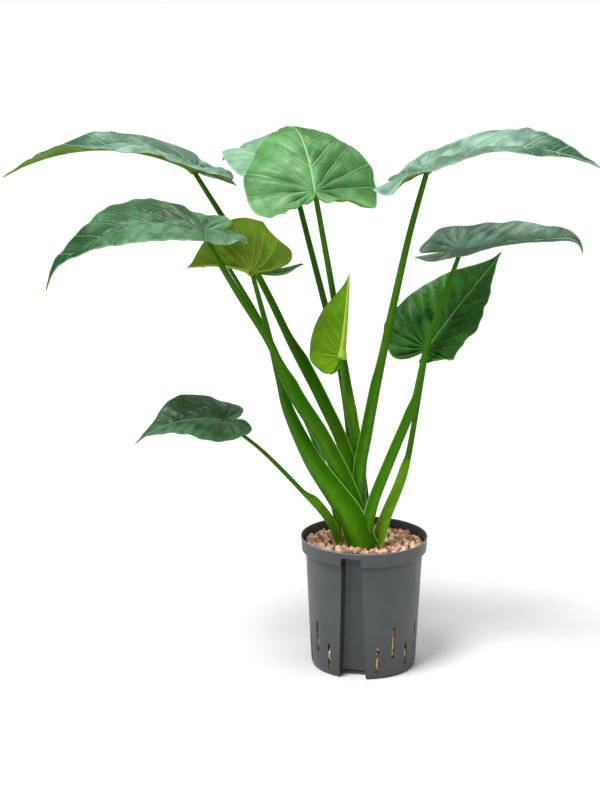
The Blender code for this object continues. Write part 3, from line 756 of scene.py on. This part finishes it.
grooveShape = {
    "bearing": -104.0, "topWidth": 0.028, "baseWidth": 0.038, "depth": 0.022, "belowRim": 0.008,
    "wall": 0.0016, "cornerRadius": 0.006, "innerSide": 0.07, "channel": (0.0030, 0.1836),
    "channelInset": 0.0028, "cutFoot": -0.002, "cutOut": 0.12, "hole": (0.007, 0.012, 0.02),
    "holePlace": (0.0770, 0.0, 0.184),
}
slotShape = {
    "count": 18, "width": 0.0042, "low": (0.010, 0.048), "high": (0.030, 0.074), "cutDepth": 0.030,
    "cutRadius": 0.078,
}
potLook = {
    # the foot colour is painted shade, darker towards the bottom
    "plain": (60, 64, 66), "cloud": (67, 71, 72), "scuff": (112, 118, 120), "foot": (48, 50, 51),
    # the next two are painted: shade under the collar, and a highlight along the rim's top
    "underCollarShade": (26, 28, 30), "rim": (150, 158, 164),
}


def buildPotWall():
    profile = potShape["profile"]
    radius, height = profile[0]
    piece = startPiece(
        "pot_fine", bpy.ops.mesh.primitive_circle_add, vertices=potShape["segments"], radius=radius,
        fill_type="NOTHING", location=(0.0, 0.0, height),
    )
    goTo("EDIT")
    bpy.ops.mesh.select_all(action="SELECT")
    for (radius, height), (nextRadius, nextHeight) in zip(profile, profile[1:]):
        bpy.ops.mesh.extrude_edges_move(TRANSFORM_OT_translate={"value": (0.0, 0.0, nextHeight - height)})
        grow = nextRadius / radius
        bpy.ops.transform.resize(value=(grow, grow, 1.0), center_override=(0.0, 0.0, 0.0))
    bpy.ops.mesh.edge_face_add()
    bpy.ops.mesh.select_all(action="DESELECT")
    goTo("OBJECT")
    # the loop has two open ends at the middle of the floor, and the lower one is closed here
    floorRadius = profile[0][0] + 1e-4
    inner = [vertex for vertex in piece.data.vertices if math.hypot(*vertex.co.xy) < floorRadius]
    low = min(vertex.co.z for vertex in inner)
    for vertex in inner:
        vertex.select = vertex.co.z < low + 1e-4
    goTo("EDIT")
    bpy.ops.mesh.edge_face_add()
    goTo("OBJECT")
    cleanMesh(piece)
    return piece


def grooveBlock(name, grow, low, high, isChannel=False):
    # a wedge along the pot's side, wider at its foot, with rounded inner corners
    piece = startPiece(name, bpy.ops.mesh.primitive_cube_add, size=1.0, location=(0.5, 0.0, 0.5))
    shape = grooveShape
    for vertex in piece.data.vertices:
        isTop, isOut = vertex.co.z > 0.5, vertex.co.x > 0.5
        half = (shape["topWidth"] if isTop else shape["baseWidth"]) / 2 + grow
        wall = potShape["wallTop"] if isTop else potShape["wallFoot"]
        outer = wall - shape["channelInset"] if isChannel else shape["cutOut"]
        inner = wall - shape["depth"] - grow
        vertex.co = (outer if isOut else inner, math.copysign(half, vertex.co.y), high if isTop else low)
    pickOnly(piece)
    goTo("EDIT")
    bpy.ops.mesh.select_mode(type="EDGE")
    bpy.ops.mesh.select_all(action="DESELECT")
    goTo("OBJECT")
    for edge in piece.data.edges:
        ends = [piece.data.vertices[index].co for index in edge.vertices]
        edge.select = max(end.x for end in ends) < shape["innerSide"]
    goTo("EDIT")
    bpy.ops.mesh.bevel(offset=shape["cornerRadius"] + grow, segments=6, affect="EDGES")
    bpy.ops.mesh.select_all(action="SELECT")
    bpy.ops.mesh.normals_make_consistent(inside=False)
    bearing = math.radians(shape["bearing"])
    bpy.ops.transform.rotate(value=-bearing, orient_axis="Z", center_override=(0.0, 0.0, 0.0))
    bpy.ops.mesh.select_mode(type="VERT")
    goTo("OBJECT")
    # the operator may turn either way, so a wedge on the wrong side is turned back
    middle = sum((vertex.co for vertex in piece.data.vertices), Vector()) / len(piece.data.vertices)
    if middle.xy.dot(Vector((math.cos(bearing), math.sin(bearing)))) < 0:
        piece.data.transform(Matrix.Rotation(2 * bearing, 4, "Z"))
    return piece


def holeCutter():
    # the opening through the groove's top, just behind the rim
    cutter = startPiece("holeCutter", bpy.ops.mesh.primitive_cube_add, size=1.0)
    size = Matrix.Diagonal((*grooveShape["hole"], 1.0))
    move = Matrix.Translation(grooveShape["holePlace"])
    cutter.data.transform(Matrix.Rotation(math.radians(grooveShape["bearing"]), 4, "Z") @ move @ size)
    return cutter


def cutPiece(piece, cutter, operation="DIFFERENCE"):
    applyModifier(piece, "BOOLEAN", object=cutter, operation=operation, solver="EXACT")
    bpy.data.objects.remove(cutter)


def slotPlace(index, side):
    # bearing, foot and top of one slot, counted from the groove on either side
    pitch = 360.0 / (slotShape["count"] + 2)
    bearing = math.radians(grooveShape["bearing"] + side * pitch * (index + 1.5))
    return bearing, *slotShape["high" if index % 2 else "low"]


def slotPlaces():
    return [slotPlace(step // 2, 1 if step % 2 else -1) for step in range(slotShape["count"])]


def copyPiece(piece):
    copy = piece.copy()
    copy.data = piece.data.copy()
    bpy.context.collection.objects.link(copy)
    return copy


def slotCutters():
    bar = startPiece("slotCutter", bpy.ops.mesh.primitive_cube_add, size=1.0, location=(0.0, 0.0, 0.5))
    copies = []
    for bearing, low, high in slotPlaces():
        copy = copyPiece(bar)
        size = Matrix.Diagonal((slotShape["cutDepth"], slotShape["width"], high - low, 1.0))
        move = Matrix.Translation((slotShape["cutRadius"], 0.0, low))
        copy.data.transform(Matrix.Rotation(bearing, 4, "Z") @ move @ size)
        copies.append(copy)
    bpy.data.objects.remove(bar)
    return joinPieces(copies, "slotCutters")


def potMaterial():
    board = Board("greyPlastic")
    look = potLook
    where = board.place()
    cloudy = board.noise(where, 18.0, 4.0)
    scuffs = board.noise(board.place((1.0, 1.0, 0.12)), 240.0, 5.0, 0.7)
    grain = board.noise(where, 2200.0, 2.0)
    height = board.parts(board.node("ShaderNodeTexCoord", output="Object"))[2]
    color = board.mix(board.band(cloudy, 0.35, 0.65), look["plain"], look["cloud"])
    color = board.mix(board.band(scuffs, 0.58, 0.74) * 0.30, color, look["scuff"])
    # painted shade: darker towards the foot
    color = board.mix(board.band(height, 0.075, 0.01) * 0.45, color, look["foot"])
    # painted shade in a band under the collar
    underCollarShade = board.band(height, 0.158, 0.1694) * board.band(height, 0.1697, 0.1695)
    color = board.mix(underCollarShade * 0.7, color, look["underCollarShade"])
    # painted highlight along the rim's top edge
    color = board.mix(board.band(height, 0.1884, 0.1896) * 0.5, color, look["rim"])
    return board.surface(
        Base_Color=color,
        Roughness=board.band(cloudy + scuffs * 0.4, 0.4, 1.0, 0.36, 0.52),
        Normal=board.bump(grain + scuffs * 0.3, 0.00025, 0.4),
    )


pot = buildPotWall()
channel = grooveBlock("grooveChannel", grooveShape["wall"], *grooveShape["channel"], isChannel=True)
cutPiece(pot, channel, "UNION")
grooveTop = potShape["height"] - grooveShape["belowRim"]
cutPiece(pot, grooveBlock("grooveCutter", 0.0, grooveShape["cutFoot"], grooveTop))
cutPiece(pot, holeCutter())
cutPiece(pot, slotCutters())
cleanMesh(pot, 1e-5, recalculate=False)
smoothShade(pot, 32)
keepPiece(pot, potMaterial(), standsFor=("pot",))
print("pot built:", len(pot.data.polygons), "faces")


# Clay granules, with the rootstock and roots among them

clayShape = {
    "shapes": 6,
    "count": 640,
    "tries": 40000,
    "size": (0.0036, 0.0078),
    "laterSmaller": 0.6,  # how much of the spread in size is gone by the last granule
    "spacing": 0.84,  # of two radii, so that lumps touch
    "radius": 0.0868,
    "height": 0.1820,
    "lowerLayer": (0.45, 0.0045),  # share of the granules in it, and how far down it is
    "ripple": 0.0015,
    "dip": 0.028,  # slope down towards the right and back
    "slotCount": 6,
    "slotSize": (0.0038, 0.0056),
    "slotRadius": 0.0735,
    "coreFoot": 0.006,
    "coreTop": 0.1760,
    "coreRadii": (0.0600, 0.0700),
    "coreGap": 0.006,
}
clayLook = {
    "low": (168, 112, 80), "high": (252, 214, 182), "dusty": (255, 228, 204), "burnt": (112, 66, 48),
    # the last two are painted shade: the shaded clay under the granules, and the shadow in the gaps between
    # its lumps
    "core": (120, 78, 58), "gapShade": (26, 16, 13),
}


def clayMaterial():
    board = Board("firedClay")
    where = board.place()
    tone = board.attribute("clayTone")
    mottle = board.noise(where, 190.0, 4.0, 0.65)
    pits = board.cells(where, 900.0)
    color = board.mix(board.band(tone, 0.05, 0.95), clayLook["low"], clayLook["high"])
    color = board.mix(board.band(mottle, 0.5, 0.66) * 0.6, color, clayLook["dusty"])
    color = board.mix(board.band(mottle, 0.47, 0.32) * 0.7, color, clayLook["burnt"])
    return board.surface(
        Base_Color=color,
        Roughness=board.band(mottle, 0.3, 0.7, 0.95, 0.82),
        Normal=board.bump(pits * 0.6 + mottle, 0.0012, 0.9),
    )


def coreMaterial():
    board = Board("shadedClay")
    where = board.place()
    lumps = board.cells(where, 95.0)
    # painted shade: dark clay, with darker painted shadow between the lumps
    color = board.mix(board.band(lumps, 0.2, 0.75), clayLook["core"], clayLook["gapShade"])
    return board.surface(Base_Color=color, Roughness=board.band(lumps, 0.0, 1.0, 0.9, 1.0))


def clayShapes(dice):
    shapes = []
    for number in range(clayShape["shapes"]):
        ball = bpy.ops.mesh.primitive_ico_sphere_add
        piece = startPiece(f"granule{number}", ball, subdivisions=2, radius=1.0)
        points = getPoints(piece)
        stretch = np.array([dice.uniform(0.85, 1.15), dice.uniform(0.8, 1.05), dice.uniform(0.7, 0.95)])
        bulge = np.sin(points @ np.array([3.1, 1.7, 2.3]) + number)
        dent = np.sin(points @ np.array([-2.2, 4.1, 1.3]) + 2 * number)
        lump = 1 + 0.15 * bulge + 0.10 * dent
        setPoints(piece, points * lump[:, None] * stretch)
        shapes.append(piece)
    return shapes


def placeGranule(shapes, dice, centre, size):
    copy = copyPiece(dice.choice(shapes))
    turn = Euler([dice.uniform(0, 6.28) for _ in range(3)]).to_matrix().to_4x4()
    copy.data.transform(Matrix.Translation(centre) @ turn @ Matrix.Scale(size, 4))
    setAttribute(copy, "clayTone", np.full(len(copy.data.vertices), dice.random()))
    return copy


def insideGroove(x, y, size):
    bearing = math.radians(grooveShape["bearing"])
    along = x * math.cos(bearing) + y * math.sin(bearing)
    across = abs(-x * math.sin(bearing) + y * math.cos(bearing))
    wallLine = potShape["wallTop"] - grooveShape["depth"] - grooveShape["wall"]
    reach = size + grooveShape["wall"]
    return along > wallLine - size and across < grooveShape["topWidth"] / 2 + reach


def topGranules(shapes, dice):
    # a lower layer first, then the one in view, each granule where none is yet
    small, large = clayShape["size"]
    count = clayShape["count"]
    lowerShare, lowerBy = clayShape["lowerLayer"]
    placed = []
    copies = []
    tries = 0
    while len(placed) < count and tries < clayShape["tries"]:
        tries += 1
        done = len(placed)
        size = small + (large - small) * dice.random() * (1 - done / count * clayShape["laterSmaller"])
        reach = (clayShape["radius"] - size) * math.sqrt(dice.random())
        bearing = dice.uniform(0, 2 * math.pi)
        x, y = reach * math.cos(bearing), reach * math.sin(bearing)
        level = clayShape["height"] - size * 0.2 - (lowerBy if done < count * lowerShare else 0.0)
        rippled = clayShape["ripple"] * math.sin(x * 90) * math.cos(y * 70)
        level += rippled - clayShape["dip"] * max(x, 0.0) * (0.5 + y / 0.18)
        if insideGroove(x, y, size):
            continue
        near = np.array(placed) if placed else np.full((1, 4), 9.0)
        apart = np.linalg.norm(near[:, :3] - (x, y, level), axis=1)
        if (apart > clayShape["spacing"] * (size + near[:, 3])).all():
            placed.append((x, y, level, size))
            copies.append(placeGranule(shapes, dice, (x, y, level), size))
    return copies


def slotGranules(shapes, dice):
    copies = []
    count = clayShape["slotCount"]
    for bearing, low, high in slotPlaces():
        for row in range(count):
            size = dice.uniform(*clayShape["slotSize"])
            height = low + (high - low) * (row + dice.uniform(0.2, 0.8)) / count
            wall = clayShape["slotRadius"] + height * potShape["wallLean"]
            reach = wall - size + dice.uniform(-0.0010, 0.0005)
            tilt = bearing + dice.uniform(-0.03, 0.03)
            centre = (reach * math.cos(tilt), reach * math.sin(tilt), height)
            copies.append(placeGranule(shapes, dice, centre, size))
    return copies


def buildGranules():
    dice = random.Random(11)
    shapes = clayShapes(dice)
    copies = topGranules(shapes, dice) + slotGranules(shapes, dice)
    for shape in shapes:
        bpy.data.objects.remove(shape)
    clay = joinPieces(copies, "clay_granules_fine")
    smoothShade(clay, 50)
    return clay


def buildCore():
    # a dark plug under the granules, painted as shaded clay with darker painted shadow between its lumps,
    # so that no light shows between them
    foot, top = clayShape["coreFoot"], clayShape["coreTop"]
    footRadius, topRadius = clayShape["coreRadii"]
    core = startPiece(
        "clay_core", bpy.ops.mesh.primitive_cone_add, vertices=96, radius1=footRadius, radius2=topRadius,
        depth=top - foot, location=(0.0, 0.0, (top + foot) / 2),
    )
    cutPiece(core, grooveBlock("coreCutter", clayShape["coreGap"], -0.01, 0.2))
    cleanMesh(core)
    smoothShade(core, 40)
    return core


clay = buildGranules()
keepPiece(clay, clayMaterial(), standsFor=("clay_granules",))
keepPiece(buildCore(), coreMaterial())
print("granules built:", len(clay.data.polygons), "faces")


rootShape = {
    "count": 12, "thickness": 0.0014, "length": 0.026, "sides": 8, "rows": 20, "stops": 5,
    "wallRadius": 0.0742, "gap": 0.0012, "bow": 0.004, "light": (196, 192, 110), "dark": (160, 150, 82),
}


def rootMaterial():
    board = Board("paleRoot")
    streaks = board.noise(board.place(), 300.0, 3.0)
    color = board.mix(board.band(streaks, 0.35, 0.65), rootShape["light"], rootShape["dark"])
    return board.surface(
        Base_Color=color,
        Roughness=board.band(streaks, 0.3, 0.7, 0.5, 0.65),
        Normal=board.bump(streaks, 0.0003, 0.4),
    )


def buildRoots():
    # short tips that lie behind the slots, bowed towards the wall
    shape = rootShape
    rows, lastStop = shape["rows"], shape["stops"] - 1
    dice = random.Random(5)
    roots = []
    for number in range(shape["count"]):
        bearing, low, high = slotPlace(number % 5, 1 if number % 3 else -1)
        start = low + (high - low) * dice.uniform(0.3, 0.6)
        stops = []
        for stop in range(shape["stops"]):
            height = start + shape["length"] * (stop / lastStop - 0.5) * dice.uniform(0.7, 1.0)
            wall = shape["wallRadius"] + height * potShape["wallLean"]
            reach = wall - shape["gap"] - shape["bow"] * abs(stop / 2 - 1) ** 2
            sway = bearing + dice.uniform(-0.012, 0.012)
            stops.append((reach * math.cos(sway), reach * math.sin(sway), height))
        root, across, upward = startGrid(f"root{number}", shape["sides"], rows)
        row = np.rint(upward * rows).astype(int)
        turn = 2 * math.pi * across
        line = smoothLine(stops, rows + 1)
        thick = shape["thickness"] * np.sin(math.pi * np.clip(row / rows, 0.0, 1.0)) ** 0.35
        outward = np.array([math.cos(bearing), math.sin(bearing), 0.0])
        beside = np.array([-math.sin(bearing), math.cos(bearing), 0.0])
        around = np.cos(turn)[:, None] * outward + np.sin(turn)[:, None] * beside
        setPoints(root, line[row] + thick[:, None] * around)
        cleanMesh(root, 1e-5)
        roots.append(root)
    joined = joinPieces(roots, "root_tips")
    smoothShade(joined, 60)
    return joined


keepPiece(buildRoots(), rootMaterial())


def rootstockMaterial():
    board = Board("rootstockBark")
    where = board.place((1.0, 1.0, 3.0))
    rough = board.noise(where, 120.0, 5.0, 0.7)
    color = board.mix(board.band(rough, 0.35, 0.65), rootstockShape["bark"], rootstockShape["darkBark"])
    return board.surface(
        Base_Color=color,
        Roughness=board.band(rough, 0.3, 0.7, 0.85, 0.7),
        Normal=board.bump(rough, 0.001, 0.8),
    )


rootstockShape = {
    "centre": (-0.006, 0.0), "radii": (0.040, 0.032), "low": 0.142, "high": 0.173,
    "bark": (92, 62, 38), "darkBark": (58, 38, 24),
}


def buildRootstock():
    shape = rootstockShape
    piece = startPiece("corm_fine", bpy.ops.mesh.primitive_ico_sphere_add, subdivisions=5, radius=1.0)
    points = getPoints(piece)
    around = np.arctan2(points[:, 1], points[:, 0])
    rings = 1 + 0.03 * np.sin(points[:, 2] * 26)
    rings = rings + 0.05 * np.sin(3 * around + 1.0) + 0.03 * np.sin(7 * around)
    middle = (shape["high"] + shape["low"]) / 2
    tall = (shape["high"] - shape["low"]) / 2
    size = np.array([*shape["radii"], tall])
    setPoints(piece, points * rings[:, None] * size + np.array([*shape["centre"], middle]))
    smoothShade(piece, 60)
    keepPiece(piece, rootstockMaterial(), standsFor=("corm",))


buildRootstock()
print("rootstock built")


# Floor, light and camera

stageShape = {
    "floorSize": 60.0,
    "floorTint": (245, 245, 245),
    "skyTint": (0.97, 0.985, 1.0),
    "skyStrength": 0.44,
    "middle": (-0.09, 0.0, 0.45),
    # name, kind, power, softness, place or direction that it shines from
    "lamps": (
        ("skylight", "SUN", 2.9, 26.0, (-0.35, -0.30, 1.0)),
        ("ceilingSoft", "AREA", 9.0, 0.8, (0.2, 0.5, 2.2)),
        ("windowSide", "AREA", 7.0, 0.7, (-1.2, -1.6, 1.3)),
    ),
    "cameraPlace": (-0.0911, -2.5736, 1.0064),
    "cameraTilt": 76.46,  # degrees up from straight down
    "lens": 85.37,
}


def floorMaterial():
    board = Board("paleFloor")
    cloudy = board.noise(board.place(), 1.5, 3.0)
    pale = tint(*stageShape["floorTint"])
    color = board.mix(board.band(cloudy, 0.3, 0.7), pale, tuple(channel * 0.99 for channel in pale))
    return board.surface(Base_Color=color, Roughness=board.band(cloudy, 0.3, 0.7, 0.75, 0.8))


def addLamp(name, kind, power, softness, place):
    # softness is a panel's width in metres, or the width of a sun in degrees
    bpy.ops.object.light_add(type=kind, location=place)
    lamp = bpy.context.object
    lamp.name = name
    lamp.data.energy = power
    if kind == "SUN":
        lamp.data.angle = math.radians(softness)
        lamp.rotation_euler = Vector(place).to_track_quat("Z", "Y").to_euler()
    else:
        lamp.data.size = softness
        towards = Vector(stageShape["middle"]) - Vector(place)
        lamp.rotation_euler = towards.to_track_quat("-Z", "Y").to_euler()


floor = startPiece("floor", bpy.ops.mesh.primitive_plane_add, size=stageShape["floorSize"])
floor.data.materials.append(floorMaterial())

world = bpy.data.worlds.new("softRoom")
world.use_nodes = True
sky = world.node_tree.nodes["Background"]
sky.inputs["Color"].default_value = (*stageShape["skyTint"], 1.0)
# the sky lights the plant softly, and looks white behind it
seen = world.node_tree.nodes.new("ShaderNodeLightPath")
strength = world.node_tree.nodes.new("ShaderNodeMapRange")
strength.inputs["To Min"].default_value = stageShape["skyStrength"]
strength.inputs["To Max"].default_value = 1.0
world.node_tree.links.new(seen.outputs["Is Camera Ray"], strength.inputs["Value"])
world.node_tree.links.new(strength.outputs[0], sky.inputs["Strength"])
bpy.context.scene.world = world

for lamp in stageShape["lamps"]:
    addLamp(*lamp)
bpy.context.scene.view_settings.view_transform = "Standard"

tilt = math.radians(stageShape["cameraTilt"])
bpy.ops.object.camera_add(location=stageShape["cameraPlace"], rotation=(tilt, 0.0, 0.0))
camera = bpy.context.object
camera.name = "camera"
camera.data.lens = stageShape["lens"]
bpy.context.scene.camera = camera
print("stage set")
